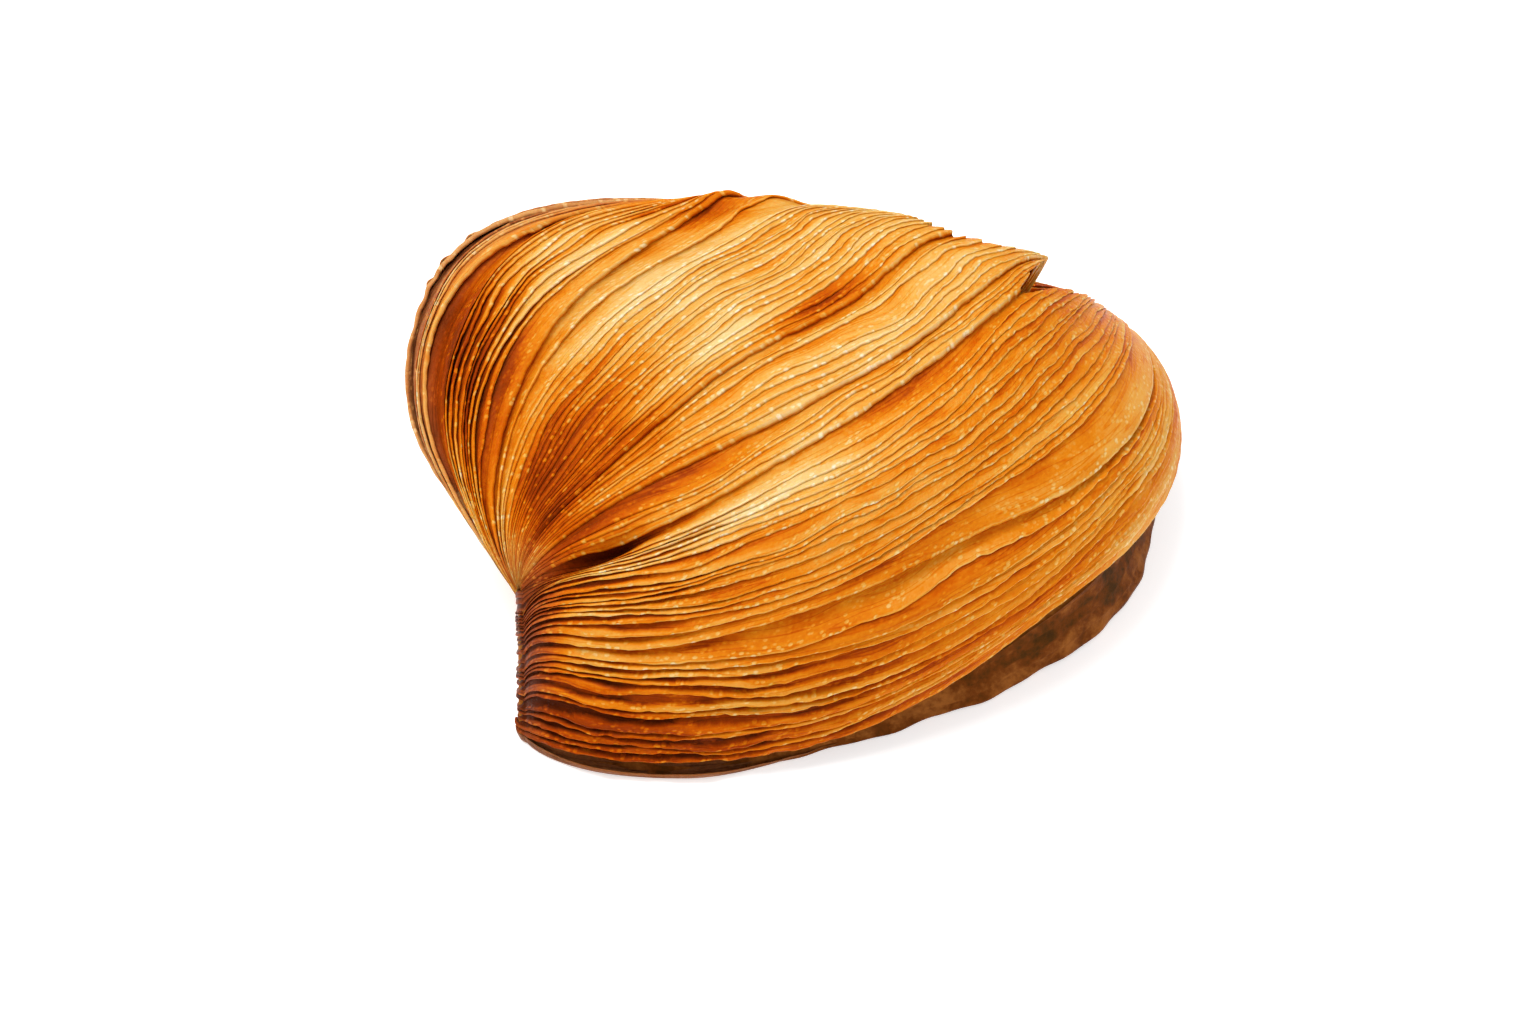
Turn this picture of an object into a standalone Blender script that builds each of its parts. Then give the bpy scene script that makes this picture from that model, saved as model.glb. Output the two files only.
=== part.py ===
"""Sfogliatella: a flattened clam of thin pastry leaves, modelled as one solid body.

Every leaf edge is a plan curve that runs from the near corner to the far corner of the pastry.
The edges fan over the crown, from the foot of the back wall to the rim above the front foot.
Sizes are in millimetres and become metres when the mesh is made. +X is right, +Y is back.
The finished body stands on its flat foot with the origin below the middle of its box.
"""
import bpy
import bmesh
import numpy as np

MM = 0.001

# The two corners where all the leaves are pinched together: plan place at the foot, and how
# far the corner has moved at the top of its spine.
NEAR_CORNER = np.array([-39.0, -50.5])
NEAR_LEAN = np.array([0.0, 9.5])
FAR_CORNER = np.array([53.7, 15.3])
FAR_LEAN = np.array([-8.9, -1.0])
FOOT_CENTRE = np.array([0.0, -12.0])       # the foot is drawn in towards this place
BODY_CENTRE = np.array([1.2, -12.6, 0.0])  # middle of the finished body, which becomes the origin
CREST_HEIGHTS = (27.6, 52.3, 67.3, 26.9)   # control heights of the crest, near to far corner
NEAR_RIM = 3.0                             # height of the leaves' lowest edge at the left
FAR_RIM_RISE = 11.0                        # how much higher that edge is at the right front

# Guide edges across the fan, from the foot of the back wall over the crown to the front rim:
# place in the fan, share of the crest height, then the direction (degrees) and reach at the
# near corner and the same at the far corner.
FAN = np.array([
    (-4.0, 0.00, 92, 84, 158, 72),
    (-3.0, 0.22, 96, 90, 160, 78),
    (-2.0, 0.50, 106, 97, 168, 76),
    (-1.0, 0.72, 116, 101, 176, 62),
    (0.0, 0.85, 123, 96, 184, 46),
    (2.0, 0.95, 104, 71, 198, 29),
    (4.0, 0.98, 41, 61, 227, 23),
    (6.0, 0.91, 2, 67, 249, 24),
    (8.0, 0.68, -15, 60, 282, 34),
    (10.0, 0.35, -25, 52, 295, 53),
    (12.0, 0.02, -28, 39, 293, 60),
])
BACK_FOOT = FAN[0, 0]
FRONT_RIM = FAN[-1, 0]
FRONT_START = 5.0                          # the rim starts to rise from this place in the fan
FRONT_FULL = 9.0                           # and has its full rise from this one

LEAVES = 34                                # leaf edges that show as ridges
WIDTH_WANDER = (0.34, 0.22)                # uneven leaf widths, as shares of the mean width
RIDGE_HEIGHT = 1.2                         # step from a leaf's free edge down to the next
RIDGE_SHAPE = ((0.02, 0.0), (0.50, 0.35), (0.93, 1.0))   # place across a leaf, share of step
EDGE_WAVE = 0.005                          # sideways waver of an edge, as a share of the fan
FAN_SAMPLES = 161                          # samples that measure the fan's girth
STATIONS = 34                              # stations along an edge, corner to corner
FIRST_STATION = 0.022                      # the corners' own closing takes the rest
SPINE_STEPS = 9                            # height steps in each corner's spine
SPINE_TOP = 0.97                           # top of a spine, as a share of its leaves' height

FOOT_INSET = 3.0                           # how far the foot lies inside the rim
FOOT_PROFILE = ((0.86, 1.0), (0.52, 0.9), (0.20, 0.25), (0.0, 0.75))   # height, inset shares
CRUST_BROWN = (0.46, 0.20, 0.06, 1.0)


def smooth(value):
    """Ease from 0 to 1."""
    value = np.clip(value, 0.0, 1.0)
    return value * value * (3.0 - 2.0 * value)


def between_guides(places):
    """Rows of the fan table at any places, on a smooth curve through the guide edges."""
    knots = FAN[:, 0]
    values = FAN[:, 1:]
    before = np.maximum(np.arange(len(knots)) - 1, 0)
    after = np.minimum(np.arange(len(knots)) + 1, len(knots) - 1)
    slopes = (values[after] - values[before]) / (knots[after] - knots[before])[:, None]
    low = np.clip(np.searchsorted(knots, places, side="right") - 1, 0, len(knots) - 2)
    gap = (knots[low + 1] - knots[low])[:, None]
    part = (places - knots[low])[:, None] / gap
    rise = part * part * (3.0 - 2.0 * part)
    start = part * (1.0 - part) ** 2 * gap * slopes[low]
    end = part * part * (part - 1.0) * gap * slopes[low + 1]
    return values[low] + rise * (values[low + 1] - values[low]) + start + end


def bezier(first, second, third, last, along):
    """Point on a cubic curve with four controls."""
    back = 1.0 - along
    return (back ** 3 * first + 3 * along * back ** 2 * second
            + 3 * along ** 2 * back * third + along ** 3 * last)


def rim_height(place, along):
    """Height of the leaves' lowest edge."""
    front = smooth((place - FRONT_START) / (FRONT_FULL - FRONT_START))
    return NEAR_RIM + front * FAR_RIM_RISE * smooth((along - 0.3) / 0.4)


def shell_point(place, along):
    """Points of the leaves' mean surface for equal-length arrays of fan place and station."""
    share, near_turn, near_reach, far_turn, far_reach = between_guides(place).T
    near = NEAR_CORNER + NEAR_LEAN * share[:, None]
    far = FAR_CORNER + FAR_LEAN * share[:, None]
    near_way = np.radians(near_turn)
    far_way = np.radians(far_turn)
    near_handle = near + near_reach[:, None] * np.stack([np.cos(near_way), np.sin(near_way)], 1)
    far_handle = far + far_reach[:, None] * np.stack([np.cos(far_way), np.sin(far_way)], 1)
    plan = bezier(near, near_handle, far_handle, far, along[:, None])
    crest = bezier(*CREST_HEIGHTS, along)
    rim = rim_height(place, along)
    return np.column_stack([plan, rim + share * (crest - rim)])


def shell_normal(place, along):
    """Outward direction of the mean surface."""
    step_place = 0.02
    step_along = 0.002
    across = shell_point(np.minimum(place + step_place, FRONT_RIM), along)
    across = across - shell_point(np.maximum(place - step_place, BACK_FOOT), along)
    down_edge = shell_point(place, along + step_along) - shell_point(place, along - step_along)
    normal = np.cross(down_edge, across)
    return -normal / np.linalg.norm(normal, axis=1)[:, None]


def girth_table():
    """Fan places and the share of the middle girth that is reached at each of them."""
    places = np.linspace(BACK_FOOT, FRONT_RIM, FAN_SAMPLES)
    section = shell_point(places, np.full(FAN_SAMPLES, 0.5))
    lengths = np.linalg.norm(np.diff(section, axis=0), axis=1)
    return places, np.concatenate([[0.0], np.cumsum(lengths)]) / lengths.sum()


FAN_PLACES, FAN_GIRTH = girth_table()


def place_at(girth):
    """Fan place at a share of the middle girth, from the back foot to the front rim."""
    return np.interp(girth, FAN_GIRTH, FAN_PLACES)


def leaf_borders():
    """Girth shares of the leaves' free edges, unevenly spaced."""
    index = np.arange(LEAVES)
    wander = WIDTH_WANDER[0] * np.sin(2.4 * index) + WIDTH_WANDER[1] * np.sin(5.3 * index + 1.0)
    widths = 1.0 + wander
    return np.concatenate([[0.0], np.cumsum(widths)]) / widths.sum()


def ridge_rows():
    """Leaf, girth share and step share of each mesh row that crosses the leaves."""
    borders = leaf_borders()
    rows = []
    for leaf in range(LEAVES):
        width = borders[leaf + 1] - borders[leaf]
        rows.extend((leaf, borders[leaf] + across * width, lift) for across, lift in RIDGE_SHAPE)
    return rows


def stations():
    """Stations along an edge, closer together towards the corners."""
    even = np.linspace(0.0, 1.0, STATIONS)
    eased = 0.55 * even + 0.45 * smooth(even)
    return FIRST_STATION + (1.0 - 2.0 * FIRST_STATION) * eased


def shell_row(leaf, girth, lift, along):
    """One mesh row: a leaf line from corner to corner, lifted towards the free edge."""
    open_fan = np.sin(np.pi * along)
    inside = np.sin(np.pi * girth) ** 0.5
    waver = EDGE_WAVE * inside * open_fan * np.sin(9.0 * along + 2.1 * leaf)
    places = place_at(girth + waver)
    points = shell_point(places, along)
    normals = shell_normal(places, along)
    return points + (RIDGE_HEIGHT * lift * open_fan ** 0.6)[:, None] * normals


def drawn_in(plan, distance):
    """Plan points moved towards the foot's centre."""
    inward = FOOT_CENTRE - plan
    return plan + distance * inward / np.linalg.norm(inward, axis=1)[:, None]


def foot_row(place, height_share, inset_share, along):
    """One mesh row of the foot below the rim at the back wall or at the front."""
    rim = shell_point(np.full(len(along), place), along)
    plan = drawn_in(rim[:, :2], FOOT_INSET * inset_share)
    return np.column_stack([plan, rim[:, 2] * height_share])


def spine_points(corner, lean, top_height):
    """The line at a corner where the back wall and the front meet, from the foot up."""
    share = np.linspace(0.0, 1.0, SPINE_STEPS)
    plan = corner + lean * share[:, None]
    foot = [np.append(drawn_in(corner[None], FOOT_INSET * inset)[0], NEAR_RIM * height)
            for height, inset in reversed(FOOT_PROFILE)]
    upper = np.column_stack([plan, NEAR_RIM + (top_height - NEAR_RIM) * share])
    return foot + list(upper)


def zip_chains(left, right, heights):
    """Triangles between two chains of vertices that both climb, keeping their heights level."""
    faces = []
    i = 0
    j = 0
    while i < len(left) - 1 or j < len(right) - 1:
        can_left = i < len(left) - 1
        can_right = j < len(right) - 1
        lower_left = can_left and can_right and heights[left[i + 1]] <= heights[right[j + 1]]
        if can_left and (lower_left or not can_right):
            faces.append((left[i], right[j], left[i + 1]))
            i += 1
        else:
            faces.append((left[i], right[j], right[j + 1]))
            j += 1
    return faces


def close_corner(points, faces, column, corner, lean, apex_row):
    """Close one end of the fan against its spine. `column` lists that end's vertices."""
    spine = spine_points(corner, lean, SPINE_TOP * points[column[apex_row]][2])
    first = len(points)
    points.extend(spine)
    spine_ids = list(range(first, first + len(spine)))
    heights = [point[2] for point in points]
    faces.extend(zip_chains(column[:apex_row + 1], spine_ids, heights))
    faces.extend(zip_chains(spine_ids, column[:apex_row - 1:-1], heights))
    faces.append((column[0], column[-1], spine_ids[0]))


def pastry_mesh():
    """Vertices and faces of the whole closed body."""
    along = stations()
    rows = [foot_row(BACK_FOOT, height, inset, along) for height, inset in reversed(FOOT_PROFILE)]
    rows.extend(shell_row(leaf, girth, lift, along) for leaf, girth, lift in ridge_rows())
    rows.extend(foot_row(FRONT_RIM, height, inset, along) for height, inset in FOOT_PROFILE)
    points = [point for row in rows for point in row]
    faces = []
    for row in range(len(rows)):
        upper = row * STATIONS
        lower = ((row + 1) % len(rows)) * STATIONS
        for step in range(STATIONS - 1):
            faces.append((upper + step, lower + step, lower + step + 1, upper + step + 1))
    near_column = [row * STATIONS for row in range(len(rows))]
    far_column = [row * STATIONS + STATIONS - 1 for row in range(len(rows))]
    ends = ((near_column, NEAR_CORNER, NEAR_LEAN), (far_column, FAR_CORNER, FAR_LEAN))
    for column, corner, lean in ends:
        apex_row = int(np.argmax([points[vertex][2] for vertex in column]))
        close_corner(points, faces, column, corner, lean, apex_row)
    return points, faces


def clear_scene():
    """Start from an empty scene."""
    for item in list(bpy.data.objects):
        bpy.data.objects.remove(item, do_unlink=True)


def crust_material():
    """Baked, lightly glossy pastry."""
    material = bpy.data.materials.new("crust")
    material.use_nodes = True
    shader = material.node_tree.nodes["Principled BSDF"]
    shader.inputs["Base Color"].default_value = CRUST_BROWN
    shader.inputs["Roughness"].default_value = 0.5
    shader.inputs["Metallic"].default_value = 0.0
    return material


def build_pastry(collection):
    """Make the pastry object."""
    points, faces = pastry_mesh()
    mesh = bpy.data.meshes.new("pastry")
    mesh.from_pydata([tuple((point - BODY_CENTRE) * MM) for point in points], [], faces)
    form = bmesh.new()
    form.from_mesh(mesh)
    bmesh.ops.triangulate(form, faces=form.faces)
    bmesh.ops.recalc_face_normals(form, faces=form.faces)
    form.to_mesh(mesh)
    form.free()
    mesh.materials.append(crust_material())
    pastry = bpy.data.objects.new("pastry", mesh)
    collection.objects.link(pastry)
    return pastry


clear_scene()
sfogliatella = bpy.data.collections.new("sfogliatella")
bpy.context.scene.collection.children.link(sfogliatella)
build_pastry(sfogliatella)
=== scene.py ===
"""Looks for the sfogliatella: thin baked leaves laid over a dark core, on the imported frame."""

import bpy
import numpy as np
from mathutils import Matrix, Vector


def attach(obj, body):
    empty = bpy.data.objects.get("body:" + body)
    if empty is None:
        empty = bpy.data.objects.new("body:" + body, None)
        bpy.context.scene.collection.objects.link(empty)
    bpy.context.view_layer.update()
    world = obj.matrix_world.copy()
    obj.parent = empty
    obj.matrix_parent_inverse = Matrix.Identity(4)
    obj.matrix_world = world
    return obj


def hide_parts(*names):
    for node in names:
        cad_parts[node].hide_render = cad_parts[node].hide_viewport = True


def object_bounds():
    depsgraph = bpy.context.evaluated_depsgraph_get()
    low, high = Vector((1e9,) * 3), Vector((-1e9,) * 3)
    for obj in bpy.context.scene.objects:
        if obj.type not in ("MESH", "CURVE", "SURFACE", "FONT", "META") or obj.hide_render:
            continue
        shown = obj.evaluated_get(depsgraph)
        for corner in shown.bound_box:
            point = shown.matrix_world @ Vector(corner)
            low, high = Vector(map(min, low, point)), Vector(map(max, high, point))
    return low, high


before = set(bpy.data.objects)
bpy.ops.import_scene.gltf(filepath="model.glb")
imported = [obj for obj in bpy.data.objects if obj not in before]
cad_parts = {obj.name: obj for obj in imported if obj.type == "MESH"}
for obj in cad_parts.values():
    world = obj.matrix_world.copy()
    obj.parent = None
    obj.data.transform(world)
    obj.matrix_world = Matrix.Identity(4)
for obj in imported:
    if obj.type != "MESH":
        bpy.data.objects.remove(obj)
CAD_LOW, CAD_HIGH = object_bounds()

# ---------------------------------------------------------------- the frame gives the places
DESIGN_WIDTH = 114.2  # width of the body in the millimetres used below
UNIT = (CAD_HIGH.x - CAD_LOW.x) / DESIGN_WIDTH
BODY_CENTRE = np.array([1.2, -12.6, 0.0])
FRAME_CENTRE = np.array([(CAD_LOW.x + CAD_HIGH.x) / 2, (CAD_LOW.y + CAD_HIGH.y) / 2, CAD_LOW.z])
CHANCE = np.random.default_rng(7)

# ---------------------------------------------------------------- mean surface of the pastry
NEAR_CORNER = np.array([-41.0, -51.5])
NEAR_LEAN = np.array([0.0, 9.5])
NEAR_INWARD = np.array([0.77, 0.64])
FAR_CORNER = np.array([54.4, 16.0])
FAR_LEAN = np.array([-8.9, -1.0])
FAR_INWARD = np.array([-0.53, -0.85])
CORNER_CUT = 2.0  # points at a corner move inward this far (mm)
CORNER_REACH = 4.0
NEAR_DROOP = 3.0  # and down this far, at the far corner by a share of it
FAR_DROOP_SHARE = 0.6
DROOP_FULL = 0.4  # share of the crest's height from which the droop is full
CREST_HEIGHTS = (27.6, 52.3, 67.3, 26.9)  # of the crest's curve from the near to the far corner
NEAR_RIM = 3.0  # height of the rim (mm), and its rise along the front
FAR_RIM_RISE = 11.0
RIM_RISE_FROM = 0.3
RIM_RISE_OVER = 0.4
PROBE = 0.002  # small step for slopes
# The crest's heights, the far corner's lean and the rows from 0.0 on are rounded results of a least-squares
# fit to leaf lines, most of them traced on the photo by another script. Both corners and two far lengths
# were then moved, and the rows before 0.0 were set one by one.
# Rows from the back foot over the crest to the front rim: place in the fan, share of the crest's height,
# way (degrees) and length (mm) of the near corner's handle, and of the far corner's handle.
FAN = np.array([
    (-4.0, 0.00, 86, 84, 158, 72),
    (-3.0, 0.22, 92, 90, 160, 78),
    (-2.0, 0.50, 104, 97, 168, 76),
    (-1.0, 0.72, 115, 101, 176, 62),
    (0.0, 0.85, 123, 96, 184, 46),
    (2.0, 0.95, 104, 71, 198, 29),
    (4.0, 0.98, 41, 61, 227, 23),
    (6.0, 0.91, 2, 67, 249, 24),
    (8.0, 0.68, -15, 60, 282, 34),
    (10.0, 0.35, -25, 52, 295, 52),
    (12.0, 0.02, -28, 39, 293, 58),
])
FRONT_START = 5.0
FRONT_FULL = 9.0


def smooth(value):
    """Ease from 0 to 1."""
    value = np.clip(value, 0.0, 1.0)
    return value * value * (3.0 - 2.0 * value)


def unit(vectors):
    """Vectors scaled to length 1."""
    return vectors / np.linalg.norm(vectors, axis=-1)[..., None]


def through(knots, values, places):
    """Smooth curve through rows of values that are given at the knots."""
    knots = np.asarray(knots, float)
    values = np.asarray(values, float)
    before = np.maximum(np.arange(len(knots)) - 1, 0)
    after = np.minimum(np.arange(len(knots)) + 1, len(knots) - 1)
    slopes = (values[after] - values[before]) / (knots[after] - knots[before])[:, None]
    places = np.clip(places, knots[0], knots[-1])
    low = np.clip(np.searchsorted(knots, places, side="right") - 1, 0, len(knots) - 2)
    gap = (knots[low + 1] - knots[low])[:, None]
    part = (places - knots[low])[:, None] / gap
    rise = part * part * (3.0 - 2.0 * part)
    start = part * (1.0 - part) ** 2 * gap * slopes[low]
    end = part * part * (part - 1.0) * gap * slopes[low + 1]
    return values[low] + rise * (values[low + 1] - values[low]) + start + end


def soften_corner(plan, corner, inward):
    """Round off a corner: points near it move inward."""
    away = np.linalg.norm(plan - corner, axis=1)
    near = np.exp(-away / CORNER_REACH)
    return plan + (CORNER_CUT * near)[:, None] * inward, near


def shell_point(place, along):
    """Points of the mean surface for flat arrays of fan place and station."""
    share, near_turn, near_reach, far_turn, far_reach = through(FAN[:, 0], FAN[:, 1:], place).T
    near = NEAR_CORNER + NEAR_LEAN * share[:, None]
    far = FAR_CORNER + FAR_LEAN * share[:, None]
    near_way = np.radians(near_turn)
    far_way = np.radians(far_turn)
    near_handle = near + near_reach[:, None] * np.stack([np.cos(near_way), np.sin(near_way)], 1)
    far_handle = far + far_reach[:, None] * np.stack([np.cos(far_way), np.sin(far_way)], 1)
    on = along[:, None]
    off = 1.0 - on
    plan = (off ** 3 * near + 3 * on * off ** 2 * near_handle
            + 3 * on ** 2 * off * far_handle + on ** 3 * far)
    first, second, third, last = CREST_HEIGHTS
    back = 1.0 - along
    crest = (back ** 3 * first + 3 * along * back ** 2 * second
             + 3 * along ** 2 * back * third + along ** 3 * last)
    front = smooth((place - FRONT_START) / (FRONT_FULL - FRONT_START))
    rim = NEAR_RIM + front * FAR_RIM_RISE * smooth((along - RIM_RISE_FROM) / RIM_RISE_OVER)
    height = rim + share * (crest - rim)
    plan, by_near = soften_corner(plan, near, NEAR_INWARD)
    plan, by_far = soften_corner(plan, far, FAR_INWARD)
    height = height - NEAR_DROOP * (by_near + FAR_DROOP_SHARE * by_far) * smooth(share / DROOP_FULL)
    return np.column_stack([plan, height])


FAN_PLACES = np.linspace(FAN[0, 0], FAN[-1, 0], 321)
MIDDLE = shell_point(FAN_PLACES, np.full(len(FAN_PLACES), 0.5))
GIRTH_STEPS = np.linalg.norm(np.diff(MIDDLE, axis=0), axis=1)
MIDDLE_GIRTH = GIRTH_STEPS.sum()
FAN_GIRTH = np.concatenate([[0.0], np.cumsum(GIRTH_STEPS)]) / MIDDLE_GIRTH


def surface(girth, along):
    """Mean surface by share of the middle girth (0 back foot, 1 front rim) and station."""
    shape = girth.shape
    place = np.interp(girth.ravel(), FAN_GIRTH, FAN_PLACES)
    return shell_point(place, np.broadcast_to(along, shape).ravel()).reshape(shape + (3,))


def surface_normal(girth, along):
    """Outward direction of the mean surface."""
    across = surface(np.minimum(girth + PROBE, 1.0), along) - surface(np.maximum(girth - PROBE, 0.0), along)
    down = surface(girth, np.minimum(along + PROBE, 1.0)) - surface(girth, np.maximum(along - PROBE, 0.0))
    normal = np.cross(across, down)
    return normal / np.maximum(np.linalg.norm(normal, axis=-1), 1e-9)[..., None]


# ---------------------------------------------------------------- where the leaf edges run
STATIONS = 280
ALONG = np.linspace(0.004, 0.996, STATIONS)
KNOTS = (0.0, 0.1, 0.25, 0.45, 0.65, 0.85, 1.0)
# The lines were read by eye from the photo unwrapped onto girth share and station, and a few were then
# corrected with points picked on the photo and looked up by another script. The back one is guessed.
# name, girth share of the edge line at each knot, leaves up to this line, dip of the strip (mm),
# extra step below this edge (mm), tone of the strip
LINES = (
    ("back", (0.22, 0.24, 0.25, 0.25, 0.25, 0.25, 0.25), 14, 0.0, 0.0, 0.62),
    ("outer_rim", (0.27, 0.283, 0.285, 0.280, 0.28, 0.28, 0.28), 2, 0.0, 0.4, 0.68),
    ("first_valley", (0.285, 0.298, 0.314, 0.300, 0.30, 0.30, 0.30), 1, 0.8, 0.0, 0.80),
    ("outer_ridge", (0.30, 0.314, 0.327, 0.328, 0.315, 0.315, 0.315), 3, 0.0, 0.5, 0.60),
    ("purple_valley", (0.32, 0.342, 0.360, 0.340, 0.322, 0.325, 0.325), 1, 1.0, 0.0, 0.66),
    ("fan_bundle", (0.37, 0.388, 0.410, 0.416, 0.335, 0.34, 0.34), 8, 0.0, 0.2, 0.54),
    ("tan_leaf", (0.385, 0.425, 0.441, 0.432, 0.343, 0.36, 0.36), 2, 0.2, 0.5, 0.55),
    ("orange_valley", (0.40, 0.436, 0.458, 0.468, 0.380, 0.38, 0.38), 1, 0.8, 0.1, 0.53),
    ("amber_valley", (0.41, 0.450, 0.480, 0.490, 0.430, 0.40, 0.40), 1, 0.6, 0.0, 0.39),
    ("pale_fan", (0.50, 0.555, 0.570, 0.576, 0.525, 0.50, 0.50), 13, 0.0, 0.0, 0.45),
    ("red_streak", (0.53, 0.578, 0.592, 0.604, 0.565, 0.54, 0.54), 4, 0.0, 0.3, 0.47),
    ("streak_valley", (0.54, 0.588, 0.602, 0.618, 0.580, 0.55, 0.55), 1, 0.5, 0.0, 0.50),
    ("upper_lip", (0.60, 0.635, 0.655, 0.668, 0.652, 0.62, 0.62), 6, 0.0, 0.35, 0.45),
    ("amber_band", (0.660, 0.692, 0.692, 0.691, 0.682, 0.655, 0.65), 4, 0.4, 0.3, 0.51),
    ("hidden_valley", (0.685, 0.713, 0.712, 0.714, 0.698, 0.700, 0.70), 1, 0.7, 0.0, 0.56),
    ("pale_ridge", (0.71, 0.740, 0.745, 0.750, 0.747, 0.745, 0.74), 5, 0.0, 0.0, 0.55),
    ("golden_ridges", (0.76, 0.785, 0.790, 0.790, 0.795, 0.795, 0.79), 5, 0.0, 0.2, 0.55),
    ("close_ridges", (0.79, 0.812, 0.818, 0.810, 0.818, 0.820, 0.82), 3, 0.0, 0.2, 0.57),
    ("broad_start", (0.80, 0.829, 0.827, 0.816, 0.825, 0.826, 0.83), 1, 0.0, 0.0, 0.57),
    ("broad_leaf", (0.815, 0.845, 0.838, 0.840, 0.868, 0.872, 0.86), 1, 0.2, 0.5, 0.55),
    ("brown_valley", (0.85, 0.870, 0.880, 0.883, 0.888, 0.890, 0.88), 2, 0.5, 0.2, 0.60),
    ("lower_ridges", (0.90, 0.925, 0.930, 0.925, 0.912, 0.918, 0.91), 4, 0.0, 0.3, 0.59),
    ("burnt_ridges", (0.95, 0.965, 0.963, 0.946, 0.938, 0.948, 0.95), 3, 0.0, 0.3, 0.65),
    ("rim", (1.0, 1.0, 0.997, 0.984, 0.985, 0.990, 1.0), 3, 0.0, 0.0, 0.62),
)
RIM_ARCH = 0.026  # the rim draws up over the foot, as a girth share
RIM_ARCH_AT = 0.575
RIM_ARCH_WIDTH = 0.10
FINEST = 0.0014  # least girth share between two edges
# strips made wider than the others of their group: group, leaf, extra width, station and station width
WIDE_STRIPS = (
    ("amber_band", 0, 3.0, 0.18, 0.14),
    ("tan_leaf", 1, 1.2, 0.5, np.inf),
)
DIPPED_FIRST = ("amber_band", "brown_valley")  # groups of several leaves where only one strip dips
DIPPED_LAST = ("tan_leaf",)
WIDTH_CYCLES = (0.8, 2.1, 4.3, 8.0)  # how the strips' widths vary along and between leaves
WIDTH_WAVES = 0.60
WIDTH_SPREAD = 0.30
RATE_SPREAD = (0.75, 1.3)
BACK_TONE = 0.6


def waves(count, cycles):
    """Smooth random lines along the stations, one for each leaf, about 1 high."""
    total = np.zeros((count, STATIONS))
    for number, cycle in enumerate(cycles):
        phase = CHANCE.uniform(0, 2 * np.pi, (count, 1))
        rate = cycle * CHANCE.uniform(*RATE_SPREAD, (count, 1))
        size = 1 / (1 + 0.5 * number)
        total += size * np.sin(2 * np.pi * rate * ALONG + phase)
    return total / np.sqrt(len(cycles))


def group_line(name, knots):
    """Girth share of a group's last edge along the stations."""
    line = through(KNOTS, np.array(knots)[:, None], ALONG)[:, 0]
    if name == "rim":
        line = line - RIM_ARCH * np.exp(-((ALONG - RIM_ARCH_AT) / RIM_ARCH_WIDTH) ** 2)
    return line


def group_shares(name, count):
    """How far across its group each leaf's edge runs, from 0 to 1."""
    along_leaf = WIDTH_WAVES * waves(count, WIDTH_CYCLES)
    shares = np.exp(along_leaf + WIDTH_SPREAD * CHANCE.standard_normal((count, 1)))
    for group, leaf, extra, station, spread in WIDE_STRIPS:
        if group == name:
            shares[leaf] *= 1.0 + extra * np.exp(-((ALONG - station) / spread) ** 2)
    return np.cumsum(shares / shares.sum(0), 0)


def is_dipped(name, leaf, count):
    """Whether a leaf's strip takes the dip of its group."""
    if count == 1:
        return True
    return (leaf == 0 and name in DIPPED_FIRST) or (leaf == count - 1 and name in DIPPED_LAST)


def edge_lines():
    """Girth share of every leaf's free edge along the stations, and each leaf's strip data."""
    edges = [np.zeros(STATIONS)]
    dips = [0.0]
    steps = [0.0]
    tones = [BACK_TONE]
    previous = np.zeros(STATIONS)
    for name, knots, count, dip, step, tone in LINES:
        line = np.maximum(group_line(name, knots), previous + FINEST * count)
        shares = group_shares(name, count)
        for leaf in range(count):
            edges.append(previous + (line - previous) * shares[leaf])
            dips.append(dip if is_dipped(name, leaf, count) else 0.0)
            steps.append(step if leaf == count - 1 else 0.0)
            tones.append(tone)
        previous = line
    edges = np.array(edges)
    for row in range(1, len(edges)):
        edges[row] = np.maximum(edges[row], edges[row - 1] + FINEST)
    return np.minimum(edges, 1.0), np.array(dips), np.array(steps), np.array(tones)


EDGES, DIPS, STEPS, TONES = edge_lines()
LEAVES = len(EDGES) - 1

# soft swells and hollows: name, girth share, station, girth width, station width, height (mm)
RELIEF = (
    ("spine_tuck", 0.12, 0.05, 0.20, 0.055, -3.0),
    ("corner_tuck", 0.14, 0.00, 0.16, 0.045, -3.0),
    ("left_swell", 0.40, 0.20, 0.050, 0.10, 0.8),
    ("lobe_hollow", 0.25, 0.28, 0.060, 0.09, -1.6),
    ("lobe_swell", 0.26, 0.13, 0.050, 0.06, 1.0),
    ("crown_hollow", 0.605, 0.42, 0.016, 0.09, -0.6),
    ("upper_group", 0.655, 0.10, 0.030, 0.07, 1.2),
    ("hub_hollow", 0.699, 0.068, 0.014, 0.034, -3.8),
    ("amber_hollow", 0.662, 0.26, 0.012, 0.10, -0.8),
    ("crest_ease", 0.47, 0.78, 0.10, 0.10, -0.9),
    ("top_flap", 0.370, 0.610, 0.030, 0.040, 2.0),
    ("broad_swell", 0.850, 0.70, 0.030, 0.16, 0.6),
    ("broad_hollow", 0.845, 0.42, 0.018, 0.08, -0.9),
    ("brown_swell", 0.872, 0.36, 0.012, 0.09, 0.8),
    ("lower_hollow", 0.935, 0.22, 0.012, 0.05, -0.8),
    ("outer_lump_1", 0.262, 0.300, 0.016, 0.012, 1.5),
    ("outer_lump_2", 0.255, 0.335, 0.018, 0.016, 1.7),
    ("outer_lump_3", 0.262, 0.262, 0.016, 0.010, 1.0),
    ("outer_lump_4", 0.250, 0.385, 0.016, 0.014, 1.2),
    ("outer_lump_5", 0.262, 0.215, 0.016, 0.010, 0.8),
    ("rim_swell", 0.950, 0.62, 0.030, 0.10, 0.6),
)
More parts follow.
